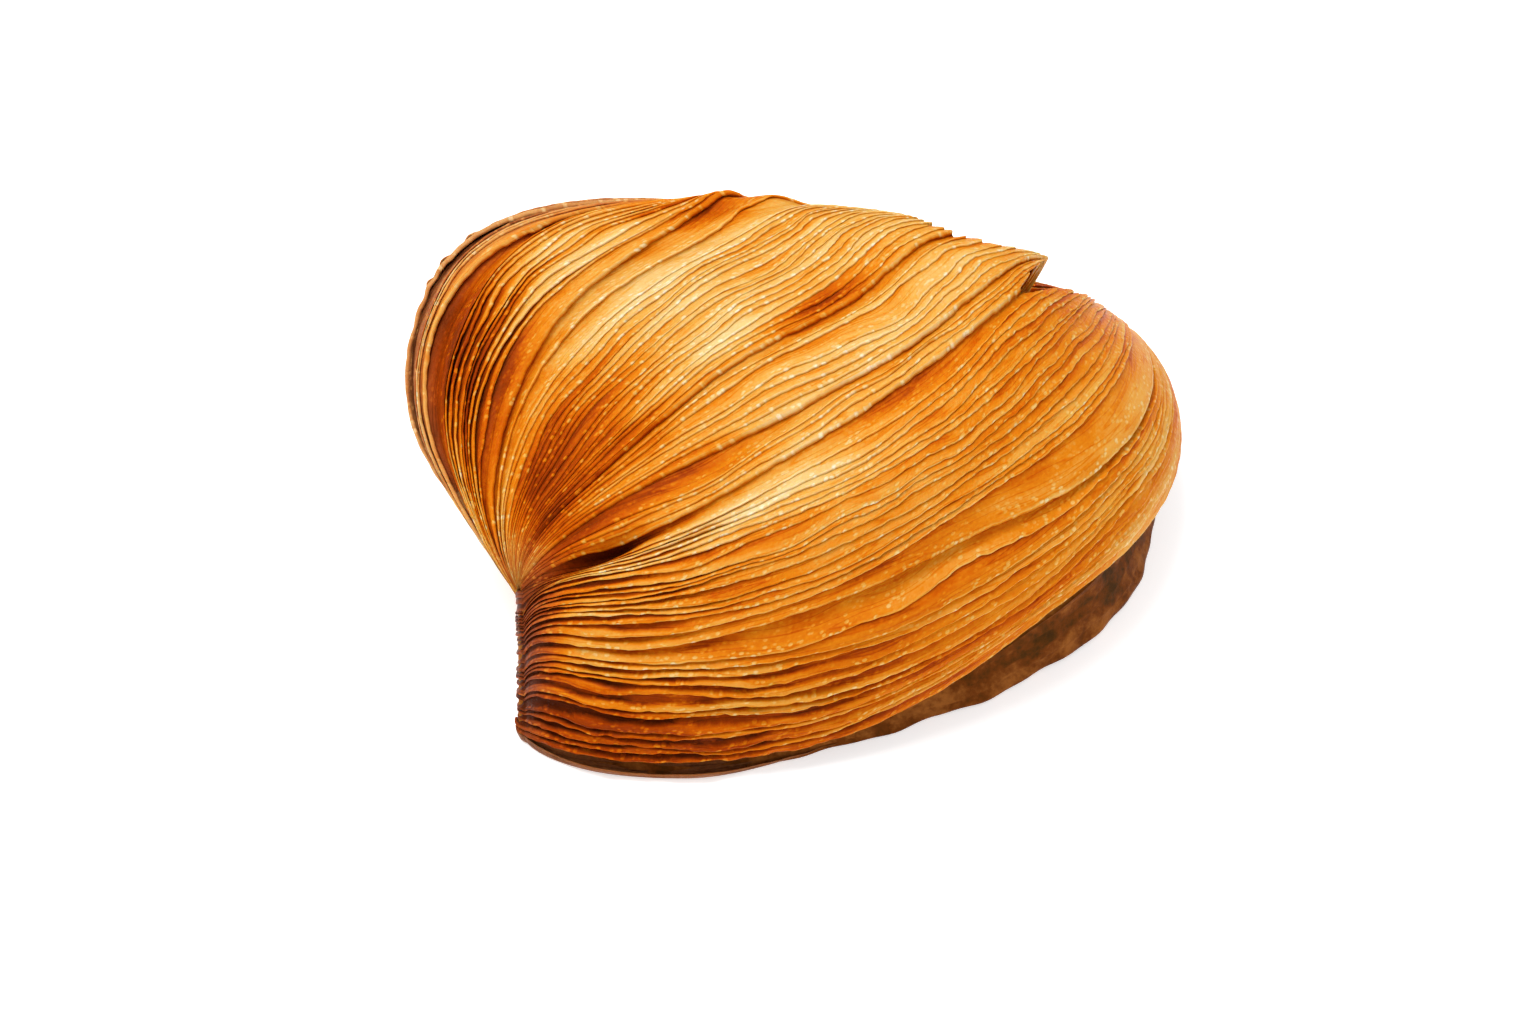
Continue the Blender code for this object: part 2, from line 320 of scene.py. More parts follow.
# Where the leaves end on the far slope: girth share and station; past it they fall away. The ends were
# picked on the photo and turned into these shares by another script; some were then moved by eye.
FAR_ENDS = (
    (0.16, 1.20), (0.20, 0.700), (0.45, 0.690), (0.54, 0.665), (0.575, 0.695), (0.596, 0.725),
    (0.610, 0.828), (0.620, 0.832), (0.645, 0.778), (0.660, 0.742), (0.672, 0.702), (0.682, 0.672),
    (0.690, 0.695), (0.70, 0.745), (0.715, 0.800), (0.740, 0.865), (0.765, 0.940), (0.79, 1.20),
)
FAR_FALL = 9.0  # depth of the fall (mm)
FALL_LENGTH = 0.014  # stations it takes
FALL_FADE = (0.92, 1.0)  # the fall runs out towards the far corner
WALL_FROM = 0.36  # before this girth share lies the back wall, where the fall
WALL_OVER = 0.12  # begins and runs out more gradually
WALL_LENGTH = 0.10
WALL_FADE = 0.10
DENT_FROM = 0.22  # and from here down to the foot there is none
DENT_OVER = 0.20
END_ROUND = 0.012  # the corners of a leaf's far end fall this much sooner
END_SLANT = 0.85  # share by which a leaf's root ends with the leaf that covers it
# patches of tone: name, girth share, station, girth width, station width, tone (positive is browner)
BROWNING = (
    # hub and hub_low: browner crust at the near corner, partly painted shade where the leaves turn away
    # round it
    ("hub", 0.60, -0.02, 0.60, 0.050, 0.24),
    ("hub_fan", 0.545, 0.12, 0.085, 0.10, 0.27),
    ("hub_fan_low", 0.58, 0.060, 0.09, 0.030, 0.18),
    ("hub_low", 0.80, -0.01, 0.14, 0.045, 0.26),
    # painted shade in the hollow at the hub
    ("hub_hole_shade", 0.698, 0.062, 0.014, 0.035, 0.22),
    ("left_hub", 0.40, 0.12, 0.07, 0.10, 0.16),
    ("left_lobe", 0.366, 0.23, 0.028, 0.10, 0.26),
    ("left_rim", 0.315, 0.24, 0.030, 0.30, -0.05),
    ("left_back", 0.22, 0.20, 0.06, 0.30, 0.12),
    ("lobe_gold", 0.395, 0.38, 0.035, 0.10, -0.14),
    ("orange_fan", 0.43, 0.54, 0.045, 0.07, 0.14),
    # paler crust over the crown, partly a painted highlight
    ("crown_pale", 0.50, 0.31, 0.060, 0.07, -0.10),
    ("crown_pale_far", 0.53, 0.50, 0.04, 0.08, -0.02),
    ("crown_mid", 0.575, 0.27, 0.020, 0.08, -0.08),
    ("red_flush", 0.596, 0.41, 0.014, 0.08, 0.24),
    # paler crust on the ridge, partly a painted highlight
    ("ridge_pale", 0.718, 0.22, 0.022, 0.10, -0.26),
    ("ridge_pale_far", 0.735, 0.36, 0.015, 0.08, -0.06),
    ("bottom_left", 0.97, 0.08, 0.07, 0.12, 0.20),
    ("bottom_front", 0.980, 0.25, 0.025, 0.12, 0.14),
    ("far_top", 0.60, 0.70, 0.08, 0.07, 0.12),
    ("far_right", 0.72, 0.80, 0.08, 0.14, 0.04),
    ("far_back", 0.30, 0.95, 0.14, 0.06, 0.15),
    ("top_rim", 0.34, 0.56, 0.05, 0.10, 0.14),
    ("ochre_end", 0.86, 0.78, 0.03, 0.14, -0.03),
    ("tan_rim", 0.975, 0.66, 0.035, 0.20, -0.16),
    ("fan_low", 0.50, 0.085, 0.035, 0.045, 0.15),
    ("upper_group_low", 0.650, 0.12, 0.030, 0.11, 0.18),
    ("golden_pale", 0.768, 0.33, 0.012, 0.13, -0.11),
    ("close_low", 0.800, 0.20, 0.012, 0.06, 0.09),
    ("lower_far", 0.915, 0.75, 0.018, 0.20, -0.14),
    ("lower_near", 0.945, 0.24, 0.014, 0.15, -0.08),
    ("lower_orange", 0.885, 0.30, 0.02, 0.10, 0.08),
)


def patches(table, girth, along):
    """Sum of soft oval patches over the surface."""
    total = np.zeros(girth.shape)
    for _, girth_at, along_at, girth_width, along_width, amount in table:
        total += amount * np.exp(-((girth - girth_at) / girth_width) ** 2
                                 - ((along - along_at) / along_width) ** 2)
    return total


OUTER_DUST = (0.340, 0.05, 0.75)  # dry crust before this girth share, over this share, this much
BACK_DUST = (0.26, 0.06, 0.40)  # and less of it on the back
CORNER_DUST = (0.05, 0.04, 0.3)  # and before this station, at the near corner


def dusting(girth, along):
    """Greyer, drier crust on the outer left leaves and at the near corner."""
    outer_from, outer_over, outer = OUTER_DUST
    back_from, back_over, less = BACK_DUST
    corner_from, corner_over, corner = CORNER_DUST
    most = outer - less * smooth((back_from - girth) / back_over)
    left = smooth((outer_from - girth) / outer_over) * most
    near = corner * smooth((corner_from - along) / corner_over) * np.ones(girth.shape)
    return np.maximum(left, near)


TILT_KNOTS = (0.0, 0.1, 0.25, 0.5, 0.75, 1.0)
TILT_VALUES = np.array([50, 40, 22, 13, 9, 8], float)  # how steeply leaves stand, by station (degrees)
CROWN_AT = 0.52  # leaves lie flatter over the crown, by a share
CROWN_WIDTH = 0.13
CROWN_EASE = 0.45
STEP_LIMITS = (0.08, 0.32)  # step from leaf to leaf (mm)
STEP_CYCLES = (1.2, 3.0)
STEP_WAVES = 0.22
PLATE_STEP_EASE = 0.55  # plates step down less, by this share
NARROW_STRIP = 0.25  # strips narrower than this (mm) step down less
LEAST_STEP = 0.15
END_POWER = 0.35  # the groups' extra steps run out at the ends of the leaves
DIP_SKEW = 0.8  # the strips dip most a little nearer to the covering edge
DIP_END_POWER = 0.5
EDGE_HEIGHT = 0.6  # free edges stand this far above the mean surface
PLATE_FROM = 0.69  # front leaves past this girth share stand as plates
PLATE_OVER = 0.03
PLATE_REACH = (0.27, 0.52)  # from the hub to this station, and the lowest leaves to this one
LOWEST_FROM = 0.86
LOWEST_OVER = 0.08
PLATE_FADE = 0.26
LEFT_PLATE = 0.6  # left leaves before this girth share stand as plates by this much
LEFT_BEFORE = 0.47
LEFT_OVER = 0.06
LEFT_REACH = 0.42
LEFT_FADE = 0.22
PLATE_GROOVE = 0.70  # depth of the groove behind a plate's edge (mm), and a thin leaf's
LEAF_GROOVE = 0.08
PLATE_BAND = 0.40  # share of the strip that is a plate's flat edge, and a thin leaf's
LEAF_BAND = 0.12
PLATE_SLOPE = 0.14  # share of the strip over which the groove deepens behind it
LEAF_SLOPE = 0.80


def plates(girth, along):
    """How far the leaves stand as thick plates: 1 at the hub, 0 on the crown and right."""
    first, last = PLATE_REACH
    reach = first + (last - first) * smooth((girth - LOWEST_FROM) / LOWEST_OVER)
    front = smooth((girth - PLATE_FROM) / PLATE_OVER) * smooth((reach - along) / PLATE_FADE)
    left = LEFT_PLATE * smooth((LEFT_BEFORE - girth) / LEFT_OVER) * smooth((LEFT_REACH - along) / LEFT_FADE)
    return np.maximum(front, left)


def far_fall(girth, along, end):
    """Depth below the mean surface past the station where a leaf ends; a shallow dent on the back wall."""
    wall = 1.0 - smooth((girth - WALL_FROM) / WALL_OVER)
    begun = smooth((along - end) / (FALL_LENGTH + WALL_LENGTH * wall))
    fade_from = FALL_FADE[0] - WALL_FADE * wall
    fade = 1.0 - smooth((along - fade_from) / (FALL_FADE[1] - fade_from))
    return FAR_FALL * smooth((girth - DENT_FROM) / DENT_OVER) * begun * fade


def far_end(girth):
    """Station where leaves of a girth share end."""
    return np.interp(girth, [place for place, _ in FAR_ENDS], [station for _, station in FAR_ENDS])


def leaf_steps():
    """Cumulative drop of the leaf stack at every edge, the strips' widths and the drops (mm)."""
    places = surface(EDGES, ALONG[None])
    widths = np.linalg.norm(np.diff(places, axis=0), axis=2)
    tilt = np.radians(through(TILT_KNOTS, TILT_VALUES[:, None], ALONG)[:, 0])
    crown = np.exp(-((EDGES[1:] - CROWN_AT) / CROWN_WIDTH) ** 2)
    slope = np.tan(tilt)[None] * (1.0 - CROWN_EASE * crown)
    lively = 1.0 + STEP_WAVES * waves(LEAVES, STEP_CYCLES)
    drop = np.clip(widths * slope, *STEP_LIMITS) * lively
    drop *= 1.0 - PLATE_STEP_EASE * plates(EDGES[1:], ALONG[None])
    ends = np.sin(np.pi * ALONG) ** END_POWER
    drop[1:] += STEPS[1:-1][:, None] * ends
    drop = drop * np.minimum(1.0, widths / NARROW_STRIP + LEAST_STEP)
    return np.concatenate([np.zeros((1, STATIONS)), np.cumsum(drop, 0)]), widths, drop


STACK, WIDTHS, DROPS = leaf_steps()


def stack_at(number):
    """Girth, stack height and dip at real leaf numbers (rows x stations)."""
    number = np.clip(number, 0.0, LEAVES)
    low = np.minimum(number.astype(int), LEAVES - 1)
    part = number - low
    columns = np.broadcast_to(np.arange(STATIONS), number.shape)
    girth = EDGES[low, columns] + part * (EDGES[low + 1, columns] - EDGES[low, columns])
    stack = STACK[low, columns] + part * (STACK[low + 1, columns] - STACK[low, columns])
    run_out = np.sin(np.pi * ALONG)[None] ** DIP_END_POWER
    return girth, stack, DIPS[low + 1] * np.sin(np.pi * part ** DIP_SKEW) * run_out


# ---------------------------------------------------------------- meshes
def to_frame(points):
    """Millimetres of the design to metres of the frame."""
    return (points - BODY_CENTRE) * UNIT + FRAME_CENTRE


def placed(name, data):
    """New object in the scene."""
    item = bpy.data.objects.new(name, data)
    bpy.context.scene.collection.objects.link(item)
    return item


def mesh_object(name, points, faces, values, material):
    """Make an object from points, quads and per-point values."""
    mesh = bpy.data.meshes.new(name)
    mesh.vertices.add(len(points))
    mesh.vertices.foreach_set("co", to_frame(points).astype(np.float32).ravel())
    mesh.loops.add(faces.size)
    mesh.loops.foreach_set("vertex_index", faces.astype(np.int32).ravel())
    mesh.polygons.add(len(faces))
    mesh.polygons.foreach_set("loop_start", np.arange(0, faces.size, 4, dtype=np.int32))
    mesh.update(calc_edges=True)
    for label, data in values.items():
        kind = "FLOAT" if data.ndim == 1 else "FLOAT_VECTOR"
        field = "value" if data.ndim == 1 else "vector"
        attribute = mesh.attributes.new(label, kind, "POINT")
        attribute.data.foreach_set(field, data.astype(np.float32).ravel())
    mesh.polygons.foreach_set("use_smooth", np.ones(len(faces), dtype=bool))
    mesh.materials.append(material)
    return placed(name, mesh)


def grid_faces(rows, columns, closed_rows=False):
    """Quads of a grid of points, rows first."""
    last = rows if closed_rows else rows - 1
    row = np.arange(last)[:, None]
    column = np.arange(columns - 1)[None]
    here = row * columns + column
    below = ((row + 1) % rows) * columns + column
    return np.stack([here, here + 1, below + 1, below], -1).reshape(-1, 4)


TOP_BACK = np.array([0.0, 0.07, 0.22, 0.40, 0.52, 0.64, 0.80, 0.97, 1.2, 1.9])  # strips behind the edge
UNDER_BACK = np.array([0.02, 0.22, 0.52])  # and on the underside
TOPS = len(TOP_BACK)
BACK = np.concatenate([TOP_BACK[::-1], [0.0], UNDER_BACK])[:, None]  # rows from the root to the underside
ROWS = len(BACK)
# how far each row lies down the thickness of the leaf
UNDER = np.concatenate([np.zeros(TOPS - 1), [0.12, 0.5, 1.0, 1.0, 1.4]])[:, None]
EDGE_FADE = 0.3  # strips behind the edge over which its waver and lift die away
FALL_CRUST_AND_SHADE_TONE = 0.20  # browner down the cut ends of the leaves: partly their own crust, partly painted shade on these faces that fall away
UNDER_SHADE_TONE = 0.10  # painted shade: darker orange on the shaded underside of the edges
ROOT_SHADE_TONE = 0.10  # and painted shade just under the covering edge
ROOT_SKIRT = 2.5  # the hidden root of a leaf bends down this far (mm)
WRAP_FROM = 0.69  # leaves past this girth share bend round the near corner
WRAP_RADIUS = 2.1
WRAP_FACING = np.radians(245.0)  # way the front wall faces at the corner
WRAP_TURNS = np.radians([78.0, 66.0, 54.0, 43.0, 32.0, 21.0, 10.0])
WRAP_DROOP = 2.2
END_DROOP = 4.0  # the plates sink this much just before they turn
LIFTED = 12.0  # edges lower than this (mm) sink less
WRAP_SHADE_TONE = 0.06  # painted shade, darker as the leaves turn away round the corner
STEM_FROM = 0.30  # leaves past this share run down into a short stem
STEM_LENGTHS = np.array([4.4, 3.3, 2.2, 1.2, 0.5])


def wrap_centres():
    """Centre that each leaf's near end turns about, and the height of its edge there."""
    ends = surface(EDGES[:, :1], ALONG[None, :1])
    ends = ends + EDGE_HEIGHT * surface_normal(np.minimum(EDGES[:, :1], 0.997), ALONG[None, :1])
    facing = np.array([np.cos(WRAP_FACING), np.sin(WRAP_FACING)])
    return ends[:, 0, :2] - WRAP_RADIUS * facing, ends[:, 0, 2]


WRAP_CENTRES, WRAP_HEIGHTS = wrap_centres()


def near_end(points, leaf):
    """Extra columns that carry a leaf's near end round the corner, or down into the stem."""
    first = points[:, :1]
    if EDGES[leaf, 0] > WRAP_FROM:
        centre = WRAP_CENTRES[leaf]
        arm = first[..., :2] - centre
        cosine = np.cos(WRAP_TURNS)[None]
        sine = np.sin(WRAP_TURNS)[None]
        x = centre[0] + arm[..., 0] * cosine + arm[..., 1] * sine
        y = centre[1] - arm[..., 0] * sine + arm[..., 1] * cosine
        lifted = np.clip(first[..., 2] / LIFTED, 0.0, 1.0)
        sink = WRAP_DROOP * smooth(WRAP_TURNS / WRAP_TURNS[0])[None] * lifted
        return np.stack([x, y, first[..., 2] - sink], -1), WRAP_TURNS * WRAP_RADIUS
    if EDGES[leaf, 0] > STEM_FROM:
        away = STEM_LENGTHS[None, :, None] * np.array([0.02, 0.10, -1.0])
        return first + away, STEM_LENGTHS
    return points[:, :0], np.zeros(0)


def leaf_girths(leaf, fine):
    """Girth share, stack height and dip of a leaf's rows, with the waver of its edge."""
    width = WIDTHS[leaf - 1][None]
    waver = np.clip(fine["edge"][leaf - 1] / np.maximum(width, 0.3), -0.3, 0.3)
    next_width = WIDTHS[min(leaf, LEAVES - 1)][None]
    waver = np.where(waver > 0.0, waver * np.minimum(1.0, width / np.maximum(next_width, 0.1)), waver)
    number = leaf - BACK + waver * np.exp(-BACK / EDGE_FADE)
    girth, stack, dip = stack_at(np.minimum(number, LEAVES))
    ahead = np.maximum(number - LEAVES, 0.0) * width / MIDDLE_GIRTH
    return girth + ahead, stack, dip


def carried(values, leaf, reach):
    """Per-point values in a flat list, carried on over the extra columns at the near end."""
    flat = {}
    for label, data in values.items():
        start = np.repeat(data[:, :1], len(reach), axis=1)
        # painted shade round the near corner
        if label == "tone" and EDGES[leaf, 0] > WRAP_FROM:
            start = start + WRAP_SHADE_TONE * reach / WRAP_RADIUS
        if label == "lane":
            start[..., 0] -= reach
        whole = np.concatenate([start, data], 1)
        flat[label] = whole.reshape(-1, *whole.shape[2:])
    return flat


def leaf_grid(leaf, fine):
    """Points and per-point values of one thin leaf, from its root over its edge and back under."""
    width = WIDTHS[leaf - 1][None]
    girth, stack, dip = leaf_girths(leaf, fine)
    plate = plates(EDGES[leaf], ALONG)[None]
    band = PLATE_BAND * plate * fine["band"][leaf - 1][None] + LEAF_BAND * (1.0 - plate)
    fall = PLATE_SLOPE * plate + LEAF_SLOPE * (1.0 - plate)
    cover = smooth((BACK - band) / fall)
    groove = (LEAF_GROOVE + (PLATE_GROOVE - LEAF_GROOVE) * plate) * fine["groove"][leaf - 1][None]
    groove = np.minimum(groove, 0.9 * width) * (0.25 + 0.75 * smooth(ALONG / 0.035))
    height = EDGE_HEIGHT + stack - STACK[leaf][None] - dip - groove * cover
    height += patches(RELIEF, girth, ALONG[None])
    height += fine["flare"][leaf - 1][None] * np.exp(-BACK / EDGE_FADE)
    rounding = END_ROUND * (2.0 * np.clip(BACK, 0.0, 1.0) - 1.0) ** 2
    own = EDGES[leaf][None]
    end = far_end(own + END_SLANT * (girth - own)) + fine["end"][leaf - 1] - rounding
    drop = far_fall(own, ALONG[None], end)
    height -= drop
    thick = fine["thick"][leaf - 1]
    height = height - UNDER * thick[None]
    height[0] -= ROOT_SKIRT
    points = surface(np.clip(girth, 0, 1), ALONG[None])
    normals = surface_normal(np.clip(girth, 0.003, 0.997), ALONG[None])
    points = points + height[..., None] * normals
    spill = np.zeros((ROWS, STATIONS))
    spill[TOPS] = 0.20 + 0.15 * (1.0 - plate[0])
    spill[TOPS + 1] = 0.75 * (1.0 - plate[0])
    across = (surface(np.clip(own + 0.004, 0, 1), ALONG[None])
              - surface(np.clip(own - 0.004, 0, 1), ALONG[None]))
    across = across / np.maximum(np.linalg.norm(across, axis=-1), 1e-6)[..., None]
    points = points + (spill * thick[None])[..., None] * across
    steps = np.linalg.norm(np.diff(points[TOPS - 1], axis=0), axis=1)
    length = np.concatenate([[0.0], np.cumsum(steps)])
    sink = END_DROOP * np.exp(-length / 2.8)[None] * smooth((girth - WRAP_FROM) / 0.02)
    points[..., 2] -= sink * np.clip(points[..., 2] / LIFTED, 0.0, 1.0)
    extra, reach = near_end(points, leaf)
    points = np.concatenate([extra, points], 1)
    points[..., 2] = np.maximum(points[..., 2], 0.3)
    rise = np.clip(1.0 - BACK, 0.0, 1.0) * np.ones((1, STATIONS))
    tone = TONES[leaf] + fine["tone"][leaf - 1] + patches(BROWNING, girth, ALONG[None])
    # painted shade just under the covering edge, less on the plates, and on the underside of the edges
    root = smooth((BACK - 0.82) / 0.20) * (1.0 - 0.7 * plate)
    tone = tone + UNDER_SHADE_TONE * (UNDER > 0.9) + ROOT_SHADE_TONE * root
    # partly painted shade down the fallen ends
    tone = tone + FALL_CRUST_AND_SHADE_TONE * smooth(drop / 3.0) * smooth((6.0 - drop) / 3.0)
    lane = np.stack([
        np.broadcast_to(length, (ROWS, STATIONS)),
        np.broadcast_to(BACK * width, (ROWS, STATIONS)),
        np.full((ROWS, STATIONS), leaf * 7.3),
    ], -1)
    # painted highlight along the cut edge and the plates' flat edges, fading on browner crust
    cut = np.zeros((ROWS, STATIONS))
    cut[TOPS - 1] = 1.0
    cut[TOPS] = 0.4
    cut = np.maximum(cut, plate * smooth((band + 0.1 - BACK) / 0.2))
    cut = cut * (1.0 - 0.8 * smooth((tone - 0.60) / 0.14))
    # the cover value is the mask of the painted shade under the covering edge
    values = {
        "tone": tone,
        "rise": rise,
        "cover": cover * (1.0 + 0.7 * plate),
        "plate": np.broadcast_to(plate, cover.shape),
        "cut": cut,
        "dust": dusting(girth, ALONG[None]),
        "lane": lane,
    }
    return points.reshape(-1, 3), carried(values, leaf, reach)


# waviness as layers: size and cycles along a leaf
EDGE_WAVES = ((0.14, (5, 9, 15)), (0.09, (28, 47, 70)))  # of the edge's line (mm)
FLARE_WAVES = ((0.06, (3, 7, 13)), (0.05, (24, 45)))  # of the edge's lift (mm)
FLARE = 0.05
PLATE_FLARE_WAVES = ((0.20, (6, 14, 23)), (0.10, (37, 61)))  # and more of both on the plates
PLATE_EDGE_WAVES = ((0.10, (8, 17, 31)), (0.05, (52, 69)))
BAND_WAVES = ((0.5, (4, 9, 19)),)
GROOVE_WAVES = ((0.55, (2, 5, 9)),)
GAP_CYCLES = (2, 5, 11)
THICK_SHARE = 0.85  # a leaf fills this share of the step below its edge
THICKNESS = (0.07, 0.70)  # within these limits (mm)
TONE_SPREAD = 0.04
TONE_WAVES = ((0.03, (1, 3)),)
END_SPREAD = 0.006


def layered(layers, base=0.0):
    """Sum of waves of several sizes over a base, for every leaf."""
    total = base
    for size, cycles in layers:
        total = total + size * waves(LEAVES, cycles)
    return total


def fine_shapes():
    """Small-scale waver, lift, thickness, groove, tone and far end of each leaf."""
    calm = np.sin(np.pi * ALONG) ** 0.4
    plate = plates(EDGES[1:], ALONG[None])
    edge = layered(EDGE_WAVES) * calm
    flare = layered(FLARE_WAVES, FLARE) * calm
    flare += plate * layered(PLATE_FLARE_WAVES)
    edge += plate * layered(PLATE_EDGE_WAVES)
    band = np.clip(layered(BAND_WAVES, 1.0), 0.3, 1.7)
    groove = np.clip(layered(GROOVE_WAVES, 1.0), 0.15, 2.0)
    gap = 0.10 * smooth(waves(LEAVES, GAP_CYCLES) - 0.2) + 0.6 * plate
    step = np.concatenate([DROPS[1:], DROPS[-1:]]) + LEAF_GROOVE + PLATE_GROOVE * plate + flare
    tone = TONE_SPREAD * CHANCE.standard_normal((LEAVES, 1))
    return {
        "edge": edge,
        "flare": flare,
        "thick": np.clip(THICK_SHARE * (step - gap), *THICKNESS),
        "groove": groove,
        "band": band,
        "tone": layered(TONE_WAVES, tone),
        "end": END_SPREAD * CHANCE.standard_normal(LEAVES),
    }


def leaf_pieces(material, groups=6):
    """All leaves, gathered into a few pieces from the back wall to the front rim."""
    fine = fine_shapes()
    pieces = []
    bounds = np.linspace(0, LEAVES, groups + 1).astype(int)
    for group in range(groups):
        points = []
        faces = []
        values = {}
        start = 0
        for leaf in range(bounds[group] + 1, bounds[group + 1] + 1):
            grid, data = leaf_grid(leaf, fine)
            points.append(grid)
            faces.append(grid_faces(ROWS, len(grid) // ROWS) + start)
            start += len(grid)
            for label, array in data.items():
                values.setdefault(label, []).append(array)
        merged = {label: np.concatenate(arrays) for label, arrays in values.items()}
        pieces.append(mesh_object(f"leaves_{group + 1}", np.concatenate(points), np.concatenate(faces),
                                  merged, material))
    return pieces


CORE_DEPTH = 2.4  # the core lies this far under the mean surface (mm)
CORE_BELLY = 1.2  # and this much more half way along
CORE_ROWS = 190
CORE_EARLY = 0.001  # its surface falls away this much before the leaves end
CORNER_FILL = 0.75  # share of its depth that the core gives up at the far corner
FILL_FROM = 0.955
FILL_OVER = 0.04
FOOT_CENTRE = np.array([0.0, -12.0])  # the foot draws in towards this place
BACK_INSET = 2.0  # inset of the foot at the back (mm), and how much less it is
BACK_EASE = 1.2  # at the far corner, from this station
BACK_EASE_FROM = 0.9
# how far the foot stands in under the rim (mm), by station
FOOT_INSETS = (
    (0.0, 2.0), (0.10, 1.6), (0.20, 1.6), (0.27, 2.2), (0.36, 3.4), (0.45, 4.2), (0.50, 3.0),
    (0.60, 2.2), (0.66, 1.9), (0.73, 2.9), (0.85, 4.3), (0.95, 3.2), (1.0, 0.8),
)
# foot section from the rim down: share of the rim's height, share of the inset, push outward (mm)
FOOT_PROFILE = (
    (0.97, 0.45, -0.6), (0.88, 0.80, -0.9), (0.79, 0.95, -0.6), (0.71, 1.00, -0.9), (0.62, 1.00, -0.3),
    (0.54, 0.98, -0.5), (0.45, 0.95, 0.3), (0.37, 0.92, 0.1), (0.28, 0.88, 0.8), (0.20, 0.90, 0.6),
    (0.13, 0.86, 1.1), (0.07, 0.86, 1.2), (0.02, 0.92, 0.8), (0.0, 1.00, -0.8),
)


def foot_rows(girth_share):
    """Rows of the foot under the rim."""
    along = ALONG[::2]
    rim = surface(np.full((1, len(along)), girth_share), along[None])[0]
    inset = np.interp(along, [place for place, _ in FOOT_INSETS], [value for _, value in FOOT_INSETS])
    if girth_share < 0.5:
        inset = BACK_INSET - BACK_EASE * smooth((along - BACK_EASE_FROM) / (1.0 - BACK_EASE_FROM))
    inward = unit(FOOT_CENTRE - rim[:, :2])
    rows = []
    for height, share, push in FOOT_PROFILE:
        turn = 2.4 * height
        bumps = (0.30 * np.sin(23.0 * along + 0.6 + turn) + 0.20 * np.sin(57.0 * along + 3.0 * turn)
                 + 0.10 * np.sin(131.0 * along + 2.0 - 5.0 * turn))
        step = inset * share - push + bumps * min(1.0, 1.3 - height) * (height > 0.0)
        plan = rim[:, :2] + step[:, None] * inward
        rows.append(np.column_stack([plan, rim[:, 2] * height]))
    return rows


LIP_DUST = 0.85
LIP_LANE = 5.0  # place of the lip in the noise patterns
LIP_REACH = 0.36  # the lip runs from the near corner to this station
# lip section: height (mm), push outward from the rim (mm), tone
# the tone is darkest on the rows inside the curl: painted shade in its hollow
LIP_PROFILE = (
    (2.2, -1.8, 0.92), (1.1, -0.9, 0.92), (0.6, -0.1, 0.90), (0.9, 0.6, 0.84),
    (1.5, 1.1, 0.76), (1.9, 1.35, 0.82), (1.8, 1.45, 0.84), (1.3, 1.3, 0.90),
    (0.7, 1.1, 0.90), (0.1, 0.6, 0.84), (0.0, -0.8, 0.88),
)


def lip_piece(material):
    """The lowest leaf, curled up from the floor along the front and round the near corner."""
    along = ALONG[ALONG < LIP_REACH]
    rim = surface(np.ones((1, len(along))), along[None])[0, :, :2]
    way = np.gradient(rim, axis=0)
    outward = unit(np.stack([way[:, 1], -way[:, 0]], 1))
    centre = WRAP_CENTRES[-1]
    turns = WRAP_TURNS[:, None]
    arm = rim[0] - centre
    start = centre + np.column_stack([
        arm[0] * np.cos(turns[:, 0]) + arm[1] * np.sin(turns[:, 0]),
        -arm[0] * np.sin(turns[:, 0]) + arm[1] * np.cos(turns[:, 0]),
    ])
    rim = np.concatenate([start, rim])
    outward = np.concatenate([unit(start - centre), outward])
    along = np.concatenate([np.zeros(len(turns)), along])
    length = np.concatenate([[0.0], np.cumsum(np.linalg.norm(np.diff(rim, axis=0), axis=1))])
    size = 1.0 - smooth((along - 0.20) / (LIP_REACH - 0.20))
    open_out = 0.25 + 0.60 * smooth((length - 4.0) / 12.0)
    wave = 0.25 * np.sin(0.45 * length + 1.0) + 0.15 * np.sin(1.3 * length) + 0.06 * np.sin(3.1 * length)
    rows = []
    tones = []
    across = []
    for number, (height, push, tone) in enumerate(LIP_PROFILE):
        raised = smooth(height / 1.5) * (number > 1)
        level = height * (0.35 + 0.65 * size) + wave * raised * size
        away = push * open_out * (0.2 + 0.8 * size) - 2.4 * (1.0 - size) + 0.6 * wave * raised
        rows.append(np.column_stack([rim + away[:, None] * outward, np.maximum(level, 0.0)]))
        tones.append(np.full(len(rim), tone))
        across.append(np.full(len(rim), number * 0.7))
    points = np.concatenate(rows)
    tones = np.concatenate(tones)
    length = np.tile(length, len(rows))
    across = np.concatenate(across)
    values = {label: np.zeros(len(points)) for label in ("rise", "cover", "cut", "plate")}
    values["tone"] = tones
    values["dust"] = np.full(len(points), LIP_DUST)
    values["lane"] = np.stack([length, across, np.full(len(points), LIP_LANE)], 1)
    return mesh_object("lip", points, grid_faces(len(rows), len(rim)), values, material)


